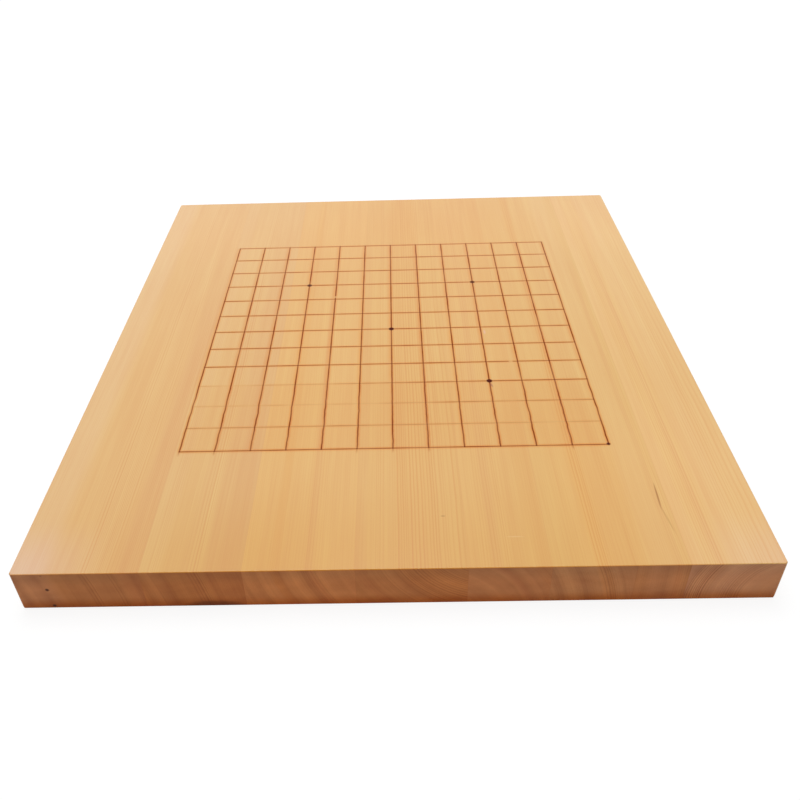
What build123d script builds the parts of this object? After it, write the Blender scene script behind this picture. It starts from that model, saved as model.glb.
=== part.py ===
from build123d import *
import os

os.makedirs("parts", exist_ok=True)

# A thirteen-line go board: one solid slab, glued up edge to edge from eight staves whose grain
# runs away from the player, with the lines and star points laid in dark lacquer on its face.
# Millimetres. X runs across the board, Y away from the near player and Z up. The origin is on
# the table, under the middle of the board.

# The slab
STAVE_WIDTHS = (71.0, 56.0, 61.5, 61.5, 45.0, 45.5, 28.5, 51.0)  # from left to right
BOARD_WIDTH = sum(STAVE_WIDTHS)
BOARD_DEPTH = 480.0
BOARD_THICKNESS = 29.0
CORNER_CHAMFER = 1.2  # upright corners, eased with a block
FACE_EDGE_RADIUS = 0.6  # round the playing face
UNDERSIDE_CHAMFER = 1.0  # round the underside, so that the edge doesn't splinter

# The lines: a cell is a little longer than it is wide, so that it looks square to a player
LINE_COUNT = 13  # each way
CELL_WIDTH = 22.7
CELL_LENGTH = 23.4
COLUMN_LINE_WIDTH = 0.8
ROW_LINE_WIDTH = 0.7
LINE_DEPTH = 0.3  # of the scored groove that the lacquer fills

# The star points: one at the centre, and four on the fourth lines
STAR_LINE = 4  # counted in from the edge of the grid
STAR_DIAMETER = 4.2
STAR_DEPTH = 0.4

# The glue joints: butted edges, with hidden biscuits that keep the staves' faces level
BISCUIT_LENGTH = 56.0
BISCUIT_WIDTH = 23.0
BISCUIT_THICKNESS = 4.0
BISCUIT_TIP = 5.0  # width of the blunt ends
BISCUIT_HEIGHT = 14.0  # above the underside
BISCUIT_PITCH = 160.0  # along a joint
BISCUIT_COUNT = 3  # in every other joint, and one fewer between, so that they lie staggered
SLOT_CUTTER_RADIUS = 50.0
SLOT_END_CLEARANCE = 0.5  # beyond the biscuit's edge, for spare glue
GLUE_FILM = 0.1  # on each face of a biscuit

# The left and right edge of each stave
joint_places = [sum(STAVE_WIDTHS[:i]) - BOARD_WIDTH / 2 for i in range(len(STAVE_WIDTHS) + 1)]


def line_figure():
    """The ruled lines, flat and joined: the outer lines close the corners."""
    span_x = (LINE_COUNT - 1) * CELL_WIDTH + COLUMN_LINE_WIDTH
    span_y = (LINE_COUNT - 1) * CELL_LENGTH + ROW_LINE_WIDTH
    column = Rectangle(COLUMN_LINE_WIDTH, span_y)
    row = Rectangle(span_x, ROW_LINE_WIDTH)
    columns = [place * column for place in GridLocations(CELL_WIDTH, span_y, LINE_COUNT, 1)]
    rows = [place * row for place in GridLocations(span_x, CELL_LENGTH, 1, LINE_COUNT)]
    return Sketch() + columns + rows


def star_figure():
    """The five discs, flat, each on a crossing."""
    reach = (LINE_COUNT - 1) / 2 - (STAR_LINE - 1)
    disc = Circle(STAR_DIAMETER / 2)
    corners = GridLocations(2 * reach * CELL_WIDTH, 2 * reach * CELL_LENGTH, 2, 2)
    return Sketch() + disc + [place * disc for place in corners]


def laid_in(figure, depth):
    """A figure as a solid that lies flush in the playing face."""
    return Pos(0, 0, BOARD_THICKNESS) * extrude(figure, -depth)


def slab():
    """The whole board as sawn and sanded, with the lines and star points cut in its face."""
    outline = chamfer(Rectangle(BOARD_WIDTH, BOARD_DEPTH).vertices(), CORNER_CHAMFER)
    body = extrude(outline, BOARD_THICKNESS)
    body = fillet(body.faces().sort_by(Axis.Z)[-1].edges(), FACE_EDGE_RADIUS)
    body = chamfer(body.faces().sort_by(Axis.Z)[0].edges(), UNDERSIDE_CHAMFER)
    return body - laid_in(line_figure(), LINE_DEPTH) - laid_in(star_figure(), STAR_DEPTH)


def biscuit_places(joint):
    """Where the biscuits of a joint lie. The joints are counted from 1 at the left."""
    count = BISCUIT_COUNT - (joint + 1) % 2
    middle = Location((joint_places[joint], 0, BISCUIT_HEIGHT))
    return [middle * place for place in GridLocations(BISCUIT_WIDTH, BISCUIT_PITCH, 1, count)]


def biscuit():
    """A lens of pressed beech with blunt ends, half of it in each stave."""
    tip, side, end = BISCUIT_TIP / 2, BISCUIT_WIDTH / 2, BISCUIT_LENGTH / 2
    right = ThreePointArc((tip, -end), (side, 0), (tip, end))
    left = ThreePointArc((-tip, end), (-side, 0), (-tip, -end))
    outline = [right, Line(right @ 1, left @ 0), left, Line(left @ 1, right @ 0)]
    return extrude(make_face(outline), BISCUIT_THICKNESS / 2, both=True)


def slots(joint, side):
    """The arc slots that a round cutter leaves in one stave; side is -1 for the left one."""
    slot_depth = BISCUIT_WIDTH / 2 + SLOT_END_CLEARANCE
    cutter = Cylinder(SLOT_CUTTER_RADIUS, BISCUIT_THICKNESS + 2 * GLUE_FILM)
    plunge = Pos(-side * (SLOT_CUTTER_RADIUS - slot_depth), 0, 0)
    return [place * plunge * cutter for place in biscuit_places(joint)]


def stave(number, whole):
    """One stave of the slab, counted from 1 at the left, with the slots in its glued edges."""
    left, right = joint_places[number - 1], joint_places[number]
    zone = Box(right - left, BOARD_DEPTH, BOARD_THICKNESS, align=(Align.MIN, Align.CENTER, Align.MIN))
    piece = whole & (Pos(left, 0, 0) * zone)
    if number > 1:
        piece -= slots(number - 1, 1)
    if number < len(STAVE_WIDTHS):
        piece -= slots(number, -1)
    return piece


whole_slab = slab()
for number in range(1, len(STAVE_WIDTHS) + 1):
    export_step(stave(number, whole_slab), f"parts/stave_{number}.step")

for joint in range(1, len(STAVE_WIDTHS)):
    biscuits = Compound([place * biscuit() for place in biscuit_places(joint)])
    export_step(biscuits, f"parts/biscuits_joint_{joint}.step")

grid_lines = laid_in(line_figure() - star_figure(), LINE_DEPTH)
export_step(grid_lines, "parts/grid_lines.step")

star_points = Compound(laid_in(star_figure(), STAR_DEPTH).solids())
export_step(star_points, "parts/star_points.step")
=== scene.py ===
from math import hypot, radians

import bpy
from mathutils import Matrix, Vector


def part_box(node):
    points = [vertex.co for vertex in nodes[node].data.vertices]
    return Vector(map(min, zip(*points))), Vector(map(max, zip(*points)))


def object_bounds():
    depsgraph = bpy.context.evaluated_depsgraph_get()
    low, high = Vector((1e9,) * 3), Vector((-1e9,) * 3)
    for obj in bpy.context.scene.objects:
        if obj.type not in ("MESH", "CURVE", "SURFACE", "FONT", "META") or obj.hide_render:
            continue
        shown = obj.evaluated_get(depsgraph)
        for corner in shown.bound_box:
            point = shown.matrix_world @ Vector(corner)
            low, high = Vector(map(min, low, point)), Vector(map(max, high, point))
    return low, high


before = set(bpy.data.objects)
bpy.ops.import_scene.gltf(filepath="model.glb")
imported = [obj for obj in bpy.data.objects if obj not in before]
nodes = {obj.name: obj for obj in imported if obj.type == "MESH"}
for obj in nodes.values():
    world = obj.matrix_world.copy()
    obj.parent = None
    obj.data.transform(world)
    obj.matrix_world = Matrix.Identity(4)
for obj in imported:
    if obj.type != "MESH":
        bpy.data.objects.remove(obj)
cad_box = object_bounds()


# The view: the photographer stood close in front of the near edge and a little to its right,
# and looked down on the board. The camera was held slightly turned and tilted.
CAMERA_PLACE = (0.0026, -0.5359, 0.3695)  # metres
CAMERA_TURN = radians(1.50)  # to the left
CAMERA_DROP = radians(37.35)  # below level
CAMERA_TILT = radians(-2.01)  # about its own axis
PHOTO_WIDTH = 800  # pixels
FOCAL_PIXELS = 821.8
CENTRE_PIXEL = 379.0  # where the camera's axis meets the picture, from the left

camera = bpy.data.objects.new("camera", bpy.data.cameras.new("camera"))
bpy.context.scene.collection.objects.link(camera)
camera.data.lens = camera.data.sensor_width * FOCAL_PIXELS / PHOTO_WIDTH
camera.data.shift_x = 0.5 - CENTRE_PIXEL / PHOTO_WIDTH
camera.data.clip_start = 0.01  # metres
camera.matrix_world = (
    Matrix.Translation(CAMERA_PLACE)
    @ Matrix.Rotation(CAMERA_TURN, 4, "Z")
    @ Matrix.Rotation(radians(90) - CAMERA_DROP, 4, "X")
    @ Matrix.Rotation(CAMERA_TILT, 4, "Z")
)
bpy.context.scene.camera = camera


# The staves: eight lengths of straight-grained softwood, butted and glued edge to edge, planed
# as one slab, ruled with ink and varnished. Each came from another part of the log, so its rings
# slant its own way on the end grain and come up through the face with their own spacing.
MM = 1000.0  # millimetres in a metre
# A Mix node's colour sockets share their names with its other ones, so they go by number
MIX_SHARE, MIX_COLOUR, MIX_OTHER, MIX_RESULT = 0, 6, 7, 2


def fill(node, name, value):
    """Gives one socket of a node its value, or links it where the value comes from a node."""
    if isinstance(value, Shade):
        value.tree.links.new(value.socket, node.inputs[name])
    else:
        node.inputs[name].default_value = value


class Shade:
    """A value in a material. Arithmetic on it adds Math nodes, and node() adds any other kind."""

    def __init__(self, tree, socket):
        self.tree, self.socket = tree, socket

    def node(self, kind, settings, sockets, output=0):
        """Adds a node. Its settings are set first, then its sockets get values or links."""
        made = self.tree.nodes.new("ShaderNode" + kind)
        for name, value in settings.items():
            setattr(made, name, value)
        for name, value in sockets.items():
            fill(made, name, value)
        return Shade(self.tree, made.outputs[output])

    def math(self, operation, *others):
        return self.node("Math", {"operation": operation}, dict(enumerate((self, *others))))

    def __add__(self, other):
        return self.math("ADD", other)

    __radd__ = __add__

    def __sub__(self, other):
        return self.math("SUBTRACT", other)

    def __rsub__(self, other):
        return self * -1 + other

    def __mul__(self, other):
        return self.math("MULTIPLY", other)

    __rmul__ = __mul__

    def __truediv__(self, other):
        return self.math("DIVIDE", other)

    def __pow__(self, other):
        return self.math("POWER", other)

    def __abs__(self):
        return self.math("ABSOLUTE")

    def over(self, other):
        """The larger of the two."""
        return self.math("MAXIMUM", other)

    def under(self, other):
        """The smaller of the two."""
        return self.math("MINIMUM", other)

    def fade(self, start, end):
        """0 at start and before it, 1 at end and past it. start may be the larger."""
        return self.node("MapRange", {"interpolation_type": "SMOOTHSTEP"},
                         {"Value": self, "From Min": start, "From Max": end})

    def axis(self, number):
        """One coordinate of a vector."""
        return self.node("SeparateXYZ", {}, {0: self}, number)

    def ripple(self):
        """Smooth noise along a line, about 0 and reaching roughly 1 either way."""
        return self.node("TexNoise", {"noise_dimensions": "1D"}, {"W": self, "Scale": 1.0}) * 4 - 2

    def chance(self):
        """A number from 0 to 1 drawn for each whole number."""
        return self.node("TexWhiteNoise", {"noise_dimensions": "1D"}, {"W": self})

    def between(self, colour, other):
        """One colour where this mask is 0, and the other where it is 1."""
        return self.node("Mix", {"data_type": "RGBA"},
                         {MIX_SHARE: self, MIX_COLOUR: colour, MIX_OTHER: other}, MIX_RESULT)

    def painted(self, colour, mask):
        """This colour, with another laid over it where the mask is 1."""
        return mask.between(self, colour)

    def dimmed(self, loss, amount):
        """This colour, with a share of its red, green and blue taken away, amount times over."""
        taken = self.node("VectorMath", {"operation": "SCALE"}, {0: loss, "Scale": amount})
        kept = self.node("VectorMath", {"operation": "SUBTRACT"}, {0: (1, 1, 1), 1: taken})
        return self.node("VectorMath", {"operation": "MULTIPLY"}, {0: self, 1: kept})


def clouds(x, y, z, detail=2.0):
    """Smooth noise about 0, reaching roughly 1 either way, with features about 1 across."""
    place = x.node("CombineXYZ", {}, {0: x, 1: y, 2: z})
    return x.node("TexNoise", {"noise_dimensions": "3D"},
                  {"Vector": place, "Scale": 1.0, "Detail": detail}) * 4 - 2


def wood_fibre(x, y, z):
    """Fine fibres, drawn out along the stave."""
    return clouds(x * 1.9, y * 0.02, z * 1.9, 3.0)


def distance(across, along):
    """How far away a place is that lies this far across and along."""
    return (across ** 2 + along ** 2) ** 0.5


def paint(red, green, blue):
    """A colour given as it looks on a screen, from 0 to 255, as the light that it reflects."""
    levels = (red / 255, green / 255, blue / 255)
    light = [c / 12.92 if c <= 0.04045 else ((c + 0.055) / 1.055) ** 2.4 for c in levels]
    return (*light, 1.0)


def new_material(name):
    """A bare material, its shader, which way the surface faces, and the place in millimetres."""
    material = bpy.data.materials.new(name)
    material.use_nodes = True
    tree = material.node_tree
    place = tree.nodes.new("ShaderNodeTexCoord")
    start = Shade(tree, place.outputs["Object"])
    facing = Shade(tree, place.outputs["Normal"])
    x, y, z = (start.axis(number) * MM for number in range(3))
    return material, tree.nodes["Principled BSDF"], facing, x, y, z


def cover(node, material):
    """Gives a CAD piece this material and no other."""
    node.data.materials.clear()
    node.data.materials.append(material)


BOARD_LEFT = cad_box[0][0] * MM
FACE_HEIGHT = cad_box[1][2] * MM
# What a tone takes of red, green and blue: summer wood, heartwood, and the paler sapwood
TONES = {"orange": (0.10, 0.45, 1.0), "brown": (0.36, 1.0, 0.85), "pale": (-0.07, -0.26, -1.0)}
# What age and varnish take of them. They give where a number is negative.
CORNER_SHEEN_LOSS = (-0.04, -0.13, -1.0)  # paler and pinkish at the two near corners: painted sheen
NEAR_EDGE_SHADE_LOSS = (0.115, 0.25, 0.72)  # darker and yellower along the near edge: painted shade against the lamp's sheen
# lighter towards the near right corner: painted light
NEAR_RIGHT_LIGHT_LOSS = (-0.035, -0.012, 0.01)
# lighter towards the back of the face: painted sheen
BACK_LIGHT_LOSS = (-0.03, -0.02, -0.03)
ARRIS_LOSS = (-0.05, 0.12, 0.22)  # where varnish lies thick along the arris of the face
END_RING_LOSS = (0.72, 0.92, 0.90)  # the rings and stains of the end grain: darker, not redder
END_FOOT_SHADE_LOSS = (0.19, 0.45, 0.72)  # painted shade, darkening the ends towards their lower edge
END_HEAD_SHADE_LOSS = (0.18, 0.13, 0.08)  # painted shade along their upper edge
VARNISH_SHARE = 0.95  # of a full coat, on the face
BARE_SHARE = 0.06  # on the ends and sides, which drank the varnish
VARNISH_ROUGHNESS, WOOD_ROUGHNESS, END_ROUGHNESS = 0.30, 0.42, 0.72
WOOD_SHINE = 0.1  # of the wood itself, under the varnish
GRAIN_DEPTH = 0.00003  # metres, of the relief that planing left in the grain
PORE_GAP = 0.55  # millimetres between the flecks of the end grain
GLUE_LINE = 0.22  # millimetres, half the width that shows
RING_SWAY, RING_SHIVER = 0.9, 0.16  # millimetres that the rings wander, slowly and quickly
HEARTWOOD_FADES = 0.8  # the share of a heartwood band's tone that is lost towards the back

# Each stave: where the log's heart lay, across and up in millimetres from the board's middle
# and underside; the ring spacing on the face; the colours of its face and of its end grain; and
# its bands, each a place from the board's left edge, a half width, a tone and how much of it.
# Where the tone is "rings", the rings themselves show more there, and where it is "end rings",
# they do so on the end grain alone.
STAVES = {
    # stave_1's wide pale band at its left edge is paler wood with painted sheen on it
    "stave_1": ((-400, -30), 1.25, (224, 175, 107), (193, 122, 71),
                [(5, 15, "pale", 0.34), (66, 8, "brown", 0.09), (38, 20, "pale", 0.03),
                 (46, 11, "rings", 0.55), (66, 6, "rings", 0.3)]),
    "stave_2": ((-330, -30), 1.5, (223, 175, 107), (192, 118, 65),
                [(76, 7, "pale", 0.09), (98, 4, "brown", 0.03), (111, 6, "brown", 0.06),
                 (122, 7, "brown", 0.08), (79, 4, "rings", 0.4), (100, 5, "rings", 0.5)]),
    "stave_3": ((53, 53), 1.5, (225, 174, 100), (205, 129, 75),
                [(145, 3, "orange", 0.14), (164, 2.5, "brown", 0.06), (177, 9, "pale", 0.03),
                 (166, 6, "rings", 0.3)]),
    "stave_4": ((53, 53), 1.7, (224, 174, 100), (197, 124, 72),
                [(191, 4, "brown", 0.06), (221, 12, "orange", 0.12), (240, 11, "orange", 0.04),
                 (201, 4, "rings", 0.3), (222, 13, "rings", 0.6), (241, 9, "rings", 0.4)]),
    "stave_5": ((20, -15), 1.5, (225, 174, 100), (199, 128, 79),
                [(266.5, 3, "brown", 0.06), (290, 8, "orange", 0.07), (268, 8, "rings", 0.35)]),
    "stave_6": ((-10, -20), 1.7, (225, 175, 100), (199, 132, 83),
                [(321.5, 4, "orange", 0.15), (335, 7, "brown", 0.03), (322, 4, "rings", 0.6)]),
    "stave_7": ((-250, 14), 1.4, (226, 177, 103), (197, 127, 78),
                [(354, 8, "pale", 0.10), (363.3, 1.8, "brown", 0.06), (366, 3, "rings", 0.3)]),
    # stave_8's pale band at its right edge is paler wood with painted sheen on it
    "stave_8": ((218, 3), 1.7, (230, 181, 109), (205, 139, 94),
                [(372, 5, "pale", 0.08), (384, 2, "brown", 0.05), (395, 7, "pale", 0.10),
                 (414, 12, "pale", 0.07), (381, 6, "rings", 0.5), (405, 8, "rings", 0.35),
                 (381, 7, "end rings", 0.9), (406, 8, "end rings", 0.5)]),
}
FAINT_RINGS = 0.18  # how much the rings show outside those bands


def growth_rings(x, y, z, heart, spacing, middle):
    """How far a place lies from the log's heart, the rings' slant, and the dark of their edges."""
    across, rise = x - heart[0], z - heart[1]
    sway = clouds(x * 0.006, y * 0.0035, z * 0.006) * RING_SWAY
    shiver = clouds(x * 0.05, y * 0.03, z * 0.05) * RING_SHIVER
    radius = (across * across + rise * rise) ** 0.5 + sway + shiver
    slant = abs(middle - heart[0]) / hypot(middle - heart[0], FACE_HEIGHT - heart[1])
    count = radius / (spacing * slant) + (radius * 0.11).ripple() * 0.8
    number = count.math("FLOOR")
    within = count - number
    # A ring darkens from its middle on and ends sharply, and some years are darker than others
    late = within.fade(0.45, 0.9) * within.fade(1.0, 0.93)
    return radius, slant, late * (number.chance() * 0.7 + 0.55)


# The ink: thirteen columns and rows drawn with a straight edge, soft where it sank into the
# grain, with its oil beside it. Hands have rubbed it thin in the rows nearest the player, with
# one of the star points.
COLUMN_INK, ROW_INK, STAR_RADIUS = 0.8, 0.7, 2.1  # millimetres, as are all of its sizes
COLUMN_SHARE, ROW_SHARE = 0.94, 0.82  # of full ink
FULL_INK = 0.15  # half the width over which the ink is at its darkest
SOFT_EDGE = 0.30  # how far it sank sideways beyond the pen's line
FULL_OIL = 0.2  # half the width over which its oil is at its darkest
OIL_REACH = 2.2  # how far the oil went, from the line's middle
OIL_CREEP = 4.2  # how far it crept under the straight edge, which lay on the left
CREPT_SHARE = 0.50  # of the oil, there
PEN_SLIP, NEAR_SLIP = 0.06, 0.16  # how far the columns stray, and how much further near the player
OUTER_LINE = 6  # counted from the middle line
STAR_LINE = 3
LINE_END = 0.8  # the length over which a line's end fades
OVERRUN_COLUMNS = (-6, -5, -1, 0, 1, 5)  # where the pen ran on past the front line
OVERRUN, OVERRUN_SHARE = 5.5, 0.5  # how far it ran on, and with how much of its ink
BACK_OVERRUN, BACK_OVERRUN_SHARE = 3.2, 0.3  # the same past the back line, in every column
# Each rubbed row: the share kept at its left and right, and between which places that changes
RUBBED_ROWS = {-3: (0.22, 1.05, -110, 120), -4: (0.20, 0.54, -20, 60), -5: (0.48, 0.26, 0, 120)}
DROP_PLACE, DROP_RADIUS = (136.0, -140.0), 1.7
INK_GAPS, GAP_RADIUS = ((-45.4, 50.2), (85.9, -46.8)), 2.0
GAP_SHARE = 0.7  # of the ink, that is missing there
CROSSING_SHARE = 0.75  # how near to the dark of a star point two inked lines come
LINE_INK, STAR_INK = paint(132, 52, 0), paint(78, 20, 6)
OIL_LOSS = (0.06, 0.43, 0.94)  # the stain is orange

line_low, line_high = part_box("grid_lines")
cell_width = ((line_high.x - line_low.x) * MM - COLUMN_INK) / (2 * OUTER_LINE)
cell_length = ((line_high.y - line_low.y) * MM - ROW_INK) / (2 * OUTER_LINE)


def only(line, number):
    """1 where the nearest line is the one of this number, and 0 elsewhere."""
    return abs(line - number).fade(0.6, 0.4)


def ruled_ink(x, y):
    """How much lies on the face, from 0 to 1: ink of the lines, their oil, ink of the stars."""
    side, near = cell_width * OUTER_LINE, cell_length * OUTER_LINE
    column = (x / cell_width).math("ROUND").over(-OUTER_LINE).under(OUTER_LINE)
    row = (y / cell_length).math("ROUND").over(-OUTER_LINE).under(OUTER_LINE)
    near_rows = y.fade(-60, -80)  # 1 from the near star points on, towards the player

    # The columns: their ends, and how evenly the pen gave its ink
    slip = y.fade(-2.5 * cell_length, -4 * cell_length) * NEAR_SLIP + PEN_SLIP
    drift = (column * 5.3 + y * 0.07).ripple() * slip
    beside = x - column * cell_width - drift
    from_column = abs(beside)
    ran_on = sum(only(column, number) for number in OVERRUN_COLUMNS)
    front_tail = y.fade(-near - OVERRUN, -near) * ran_on * OVERRUN_SHARE
    back_tail = y.fade(near + BACK_OVERRUN, near) * BACK_OVERRUN_SHARE
    front_end = y.fade(-near - LINE_END, -near).over(front_tail)
    back_end = y.fade(near + LINE_END, near).over(back_tail)
    flow = COLUMN_SHARE + (column * 7.1 + y * 0.03).ripple() * 0.16
    column_share = front_end * back_end * (flow - near_rows * 0.04 - y.fade(40, 140) * 0.06)

    # The rows, some of them rubbed
    from_row = abs(y - row * cell_length)
    row_share = ROW_SHARE + (row * 9.7 + x * 0.03).ripple() * 0.14
    for number, (left_share, right_share, start, end) in RUBBED_ROWS.items():
        share = x.fade(start, end) * (right_share - left_share) + left_share
        row_share = row_share - only(row, number) * (1 - share) * ROW_SHARE
    row_share = row_share.over(0) * abs(x).fade(side + LINE_END, side)

    for gap_x, gap_y in INK_GAPS:
        gap = ((x - gap_x) ** 2 + (y - gap_y) ** 2).fade(GAP_RADIUS ** 2, 0.5)
        kept = 1 - gap * GAP_SHARE
        column_share, row_share = column_share * kept, row_share * kept
    columns = from_column.fade(COLUMN_INK / 2 + SOFT_EDGE, FULL_INK) * column_share
    rows = from_row.fade(ROW_INK / 2 + SOFT_EDGE, FULL_INK) * row_share
    lines = 1 - (1 - columns) * (1 - rows)

    # The oil, which crept to the left of the columns, though less in the near rows
    under_edge = beside.fade(-OIL_CREEP, -0.5) * beside.fade(0.3, -0.5)
    crept = under_edge * (CREPT_SHARE - near_rows * 0.32)
    oil = (from_column.fade(OIL_REACH, FULL_OIL) * 0.9).over(crept) * column_share
    oil = oil.over(from_row.fade(OIL_REACH, FULL_OIL) * row_share).under(1)

    # The star points: the near left one is almost gone, and the two at the back are a bit paler
    corner = distance(abs(x) - STAR_LINE * cell_width, abs(y) - STAR_LINE * cell_length)
    stars = corner.under(distance(x, y)).fade(STAR_RADIUS + 0.45, STAR_RADIUS - 0.6)
    stars = stars * (1 - x.fade(-40, -60) * y.fade(-40, -60) * 0.97) * (1 - y.fade(10, 60) * 0.12)
    # The ink lies double where lines cross, and it dripped where the last column ended
    drop = distance(x - DROP_PLACE[0], y - DROP_PLACE[1])
    stars = stars.over(columns * rows * CROSSING_SHARE).over(drop.fade(DROP_RADIUS, 0.7))
    return lines, oil, stars


# Marks on the face: place from the board's middle, half width and half length, how far it leans
# over each millimetre of its length, its colour and how strongly it shows
MARKS = (
    (154.2, -187.5, 0.6, 11.0, -0.05, (156, 92, 46), 0.6),  # a streak of resin
    (155.0, -205.6, 0.6, 12.0, 0.13, (176, 114, 58), 0.28),  # and its tail
    (28.3, -200.9, 1.4, 0.5, 0.0, (150, 108, 62), 0.5),  # a speck
    (67.4, -217.7, 5.0, 0.5, 0.0, (238, 203, 150), 0.35),  # a scratch
    (68.8, -74.5, 0.9, 3.2, 0.3, (140, 92, 92), 0.55),  # ink smeared from a star point
    (70.8, -7.0, 0.9, 3.2, 0.0, (232, 188, 164), 0.6),  # a pale smudge
)
# Marks on the near end: across and up from the underside, half width and half height, colour
# and strength: three old pinholes in the first stave, and a dark patch at the foot under the
# second
END_MARKS = (
    (-192.6, 27.6, 0.5, 0.5, (80, 44, 32), 0.5),
    (-192.0, 16.1, 1.2, 1.2, (66, 34, 26), 0.85),
    (-191.3, 2.8, 1.2, 1.2, (66, 34, 26), 0.85),
    (-101.0, 0.5, 18.0, 5.0, (70, 34, 18), 0.55),
)


def stave_wood(name, heart, spacing, face_colour, end_colour, bands):
    """The varnished wood of one stave, right through, so that face and end grain agree."""
    low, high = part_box(name)
    left, right = low.x * MM, high.x * MM
    material, surface, facing, x, y, z = new_material(name + "_wood")
    end = (abs(facing.axis(1)) - facing.axis(2) * 0.5).fade(0.45, 0.85)  # not on the upper arris
    near_end = facing.axis(1).fade(-0.3, -0.6)
    face = facing.axis(2).fade(0.93, 0.985)
    radius, slant, late = growth_rings(x, y, z, heart, spacing, (left + right) / 2)

    def band(place, half_width):
        """1 in a band of rings, which follows them through the stave."""
        reach = hypot(BOARD_LEFT + place - heart[0], FACE_HEIGHT - heart[1])
        return abs(radius - reach).fade(half_width * slant * 1.3, half_width * slant * 0.5)

    def rings(kind):
        return sum(band(place, half_width) * strength
                   for place, half_width, tone, strength in bands if tone == kind)

    late = (late - 0.2) * (1 - y.fade(-120, 200) * 0.4)
    shown = FAINT_RINGS + rings("rings")
    end_late, late = late * (shown + rings("end rings")), late * shown
    # Long grain: pin lines of summer wood, fibres drawn out along the stave, slow drifts of tone,
    # yellower in the middle of the back; and the near edge, where painted shade darkens the face
    fibre = wood_fibre(x, y, z)
    streak = clouds(x * 0.2, y * 0.006, z * 0.2, 3.0)
    drift = clouds(x * 0.05, y * 0.012, z * 0.05, 2.0)
    painted_near_edge_shade = y.fade(-150, -262) * abs(x + 30).fade(195, 20) * z.fade(14, 28)
    golden_back = y.fade(-50, 220) * abs(x - 25).fade(130, 30)
    long_tone = {"orange": late * 0.36 + fibre * 0.040 + streak * 0.055 + golden_back * 0.10,
                 "brown": late * 0.13 + fibre * 0.025 + streak * 0.034 + drift * 0.02,
                 "pale": drift * -0.02 - golden_back * 0.06}
    # End grain: cut fibres as flecks, and rings and stains that show more
    fleck = clouds(x / PORE_GAP, y / PORE_GAP, z / PORE_GAP, 1.0)
    stain = clouds(x * 0.045, y * 0.05, z * 0.09, 3.0) + (radius * 0.13).ripple()
    end_tone = {"orange": fleck * 0.02, "brown": fleck * 0.05, "pale": 0}
    wood = end.between(paint(*face_colour), paint(*end_colour))
    # The bands of tone, of which those of heartwood grow paler away from the player
    for tone, loss in TONES.items():
        amount = long_tone[tone] + (end_tone[tone] - long_tone[tone]) * end
        lasting = 1 - y.fade(-60, 200) * HEARTWOOD_FADES if tone == "brown" else 1
        for place, half_width, band_tone, strength in bands:
            if band_tone == tone:
                amount = amount + band(place, half_width) * lasting * strength
        wood = wood.dimmed(loss, amount)

    # The two near corners are paler and pinkish: painted sheen. Along the near edge the face is
    # darker and yellower: painted shade that takes back the lamp's sheen there. The face is a
    # little lighter towards its near right corner and its back: painted light.
    painted_corner_sheen = y.fade(-195, -240) * (x.fade(-152, -192) * 0.56 + x.fade(150, 215) * 0.40)
    wood = wood.dimmed(CORNER_SHEEN_LOSS, painted_corner_sheen * face).dimmed(NEAR_EDGE_SHADE_LOSS, painted_near_edge_shade * (1 - end))
    painted_near_right_light = y.fade(-60, -170) * face
    wood = wood.dimmed(NEAR_RIGHT_LIGHT_LOSS, painted_near_right_light * x.fade(85, 115))
    wood = wood.dimmed(TONES["pale"], painted_near_right_light * x.fade(125, 165) * 0.13)
    wood = wood.dimmed(BACK_LIGHT_LOSS, y.fade(80, 180) * face)
    # It has yellowed in the rubbed rows too, from the near star points to the front line
    rubbed = (y.fade(-2.9 * cell_length, -3.1 * cell_length)
              * y.fade(-6.2 * cell_length, -5.9 * cell_length)
              * abs(x).fade(6.1 * cell_width, 5.8 * cell_width))
    wood = wood.dimmed(TONES["orange"], rubbed * face * 0.12)
    # The end grain is darker in its rings and its stains, and painted shade darkens it along its
    # lower and upper edges
    wood = wood.dimmed(END_RING_LOSS, (end_late * 0.36 + stain * 0.15) * end)
    painted_foot_shade = z.fade(10.0, 0.5) * (1 + clouds(x * 0.03, y, z * 0.03) * 0.3)
    wood = wood.dimmed(END_FOOT_SHADE_LOSS, painted_foot_shade * end)
    wood = wood.dimmed(END_HEAD_SHADE_LOSS, z.fade(FACE_HEIGHT - 13.0, FACE_HEIGHT - 0.5) * end)
    arris = z.fade(FACE_HEIGHT - 1.0, FACE_HEIGHT - 0.4) * (1 - face) * x.fade(195, 150)
    wood = wood.dimmed(ARRIS_LOSS, arris)
    glue = abs(x - left).under(abs(x - right)).fade(GLUE_LINE, 0.0)
    wood = wood.dimmed(TONES["brown"], glue * 0.12)

    lines, oil, stars = (ink * face for ink in ruled_ink(x, y))
    wood = wood.dimmed(OIL_LOSS, oil).painted(LINE_INK, lines).painted(STAR_INK, stars)
    covered = lines.over(stars)
    for mark_x, mark_y, half_width, half_length, lean, colour, strength in MARKS:
        if left < mark_x < right:
            along = y - mark_y
            away = ((x - mark_x + along * lean) / half_width) ** 2 + (along / half_length) ** 2
            mark = away.fade(1.5, 0.1) * face * strength
            wood, covered = wood.painted(paint(*colour), mark), covered.over(mark)
    for mark_x, mark_z, half_width, half_height, colour, strength in END_MARKS:
        if left < mark_x < right:
            away = ((x - mark_x) / half_width) ** 2 + ((z - mark_z) / half_height) ** 2
            wood = wood.painted(paint(*colour), away.fade(1.3, 0.2) * near_end * strength)

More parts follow.
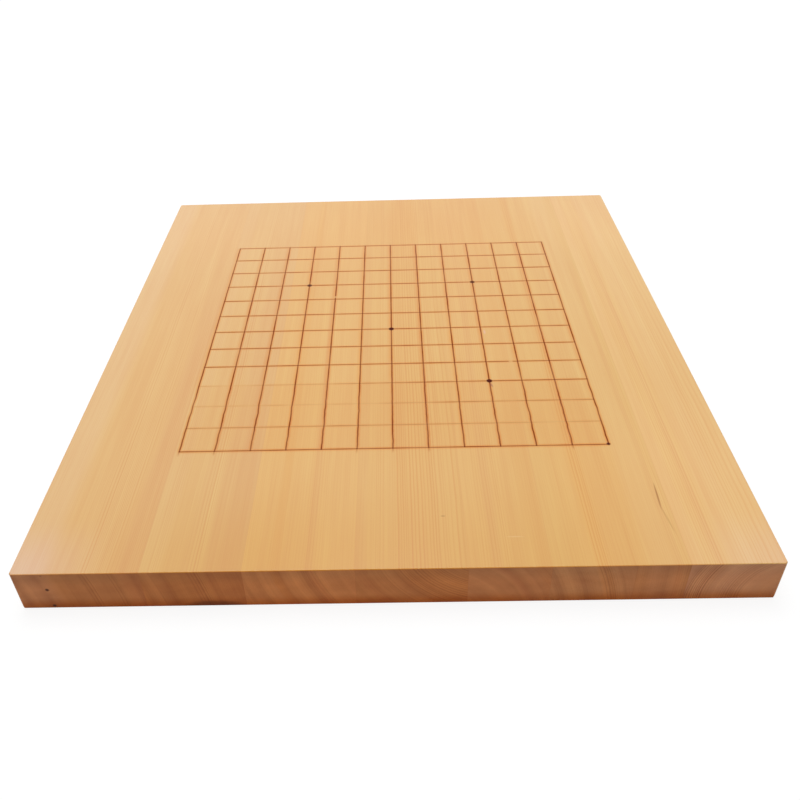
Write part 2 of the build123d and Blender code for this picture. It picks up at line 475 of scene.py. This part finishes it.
    fill(surface, "Base Color", wood)
    roughness = WOOD_ROUGHNESS + end * (END_ROUGHNESS - WOOD_ROUGHNESS)
    fill(surface, "Roughness", roughness + fibre * 0.02 - late * 0.03)
    varnish = face * (1 - covered * 0.9) * (VARNISH_SHARE - BARE_SHARE)
    fill(surface, "Coat Weight", BARE_SHARE + varnish)
    fill(surface, "Coat Roughness", VARNISH_ROUGHNESS)
    fill(surface, "Specular IOR Level", WOOD_SHINE)
    height = late * 0.5 + fibre * 0.25 - fleck * end * 0.5
    relief = height.node("Bump", {}, {"Height": height, "Distance": GRAIN_DEPTH, "Strength": 0.5})
    fill(surface, "Normal", relief)
    return material


for name, grown in STAVES.items():
    cover(nodes[name], stave_wood(name, *grown))


# The lines and star points: the ink itself, rubbed down flush with the face. Where it has worn
# thin, the wood shows through.
MEAN_WOOD = paint(224, 175, 102)
INK_SHINE = 0.05  # of the ink itself, under the varnish
for name in ("grid_lines", "star_points"):
    material, surface, _, x, y, z = new_material(name + "_ink")
    lines, oil, stars = ruled_ink(x, y)
    fibre = wood_fibre(x, y, z)
    stained = lines.between(MEAN_WOOD, LINE_INK).dimmed(OIL_LOSS, oil * (1 - lines))
    stained = stained.painted(STAR_INK, stars)
    fill(surface, "Base Color", stained.dimmed(TONES["orange"], fibre * 0.05))
    fill(surface, "Roughness", WOOD_ROUGHNESS + fibre * 0.03)
    fill(surface, "Coat Weight", VARNISH_SHARE - lines.over(stars) * VARNISH_SHARE)
    fill(surface, "Coat Roughness", VARNISH_ROUGHNESS)
    fill(surface, "Specular IOR Level", INK_SHINE)
    cover(nodes[name], material)


# The biscuits: lens-shaped slips of pressed beech inside the glue joints, which swell with the
# glue and keep the staves' faces level. None of them shows once the slab is glued.
BEECH, DARK_BEECH = paint(196, 150, 110), paint(186, 139, 99)
BEECH_ROUGHNESS = 0.7
PRESS_PITCH = 1.2  # radians to a millimetre, of the diamonds that the press left
material, surface, _, x, y, z = new_material("pressed_beech")
diamonds = ((x + y) * PRESS_PITCH).math("SINE") * ((x - y) * PRESS_PITCH).math("SINE")
fleck = clouds(x * 0.8, y * 0.25, z * 0.8, 3.0)
beech = (diamonds * 0.5 + 0.5).between(BEECH, DARK_BEECH)
fill(surface, "Base Color", beech.dimmed(TONES["brown"], fleck * 0.06))
fill(surface, "Roughness", BEECH_ROUGHNESS + diamonds * 0.06)
for name, node in nodes.items():
    if name.startswith("biscuits"):
        cover(node, material)


# The studio: a white sweep under and behind the board, a wide soft lamp above it, and pale
# walls all round.
WHITE = (1.0, 1.0, 1.0, 1.0)
FLOOR_SIZE = 8.0
FLOOR_CLEARANCE = 0.0001  # so that no two faces lie in one plane
FLOOR_COLOUR = (0.85, 0.85, 0.85, 1.0)
FLOOR_GLOW = 1.08  # where 1 is white
SEEN_GLOW = 0.82  # the share of the glow in what the camera sees of the floor: the rest has shade
FAR_GLOW = 0.12  # how much greater that share is far from the board
FAR_START, FAR_END = 0.45, 1.3  # metres from the board's middle, between which it grows
LAMP_PLACE, LAMP_SIZE, LAMP_WATTS = Vector((-0.12, 0.25, 1.3)), 0.9, 11.7
WALL_LIGHT = 0.42  # what the walls send to the board, where 1 is white


def seen_by_camera(tree):
    """1 for what the camera sees, also mirrored or through glass, and 0 for light on the board."""
    rays = tree.nodes.new("ShaderNodeLightPath")
    straight, glossy, through = (Shade(tree, rays.outputs[f"Is {kind} Ray"])
                                 for kind in ("Camera", "Glossy", "Transmission"))
    return straight.over(glossy).over(through)


for thing in bpy.context.selected_objects:
    thing.select_set(False)
bpy.ops.mesh.primitive_plane_add(size=FLOOR_SIZE, location=(0, 0, -FLOOR_CLEARANCE))
floor = bpy.context.active_object
floor.name = "floor"
sweep = bpy.data.materials.new("white_sweep")
sweep.use_nodes = True
tree = sweep.node_tree
seen = seen_by_camera(tree)
diffuse = seen.node("BsdfDiffuse", {}, {"Color": FLOOR_COLOUR})
glow = seen.node("Emission", {}, {"Color": WHITE, "Strength": FLOOR_GLOW})
spot = Shade(tree, tree.nodes.new("ShaderNodeTexCoord").outputs["Object"])
far = distance(spot.axis(0), spot.axis(1)).fade(FAR_START, FAR_END)
glow_share = seen * (SEEN_GLOW + far * FAR_GLOW)
mixed = seen.node("MixShader", {}, {0: glow_share, 1: diffuse, 2: glow})
fill(tree.nodes["Material Output"], "Surface", mixed)
floor.data.materials.append(sweep)

world = bpy.data.worlds.new("walls")
bpy.context.scene.world = world
world.use_nodes = True
walls = world.node_tree.nodes["Background"]
fill(walls, "Color", WHITE)
fill(walls, "Strength", seen_by_camera(world.node_tree) * (1 - WALL_LIGHT) + WALL_LIGHT)

lamp = bpy.data.objects.new("lamp", bpy.data.lights.new("lamp", "AREA"))
bpy.context.scene.collection.objects.link(lamp)
lamp.data.size = LAMP_SIZE
lamp.data.energy = LAMP_WATTS
towards_board = LAMP_PLACE.to_track_quat("Z", "Y").to_matrix().to_4x4()
lamp.matrix_world = Matrix.Translation(LAMP_PLACE) @ towards_board

bpy.context.scene.view_settings.view_transform = "Standard"
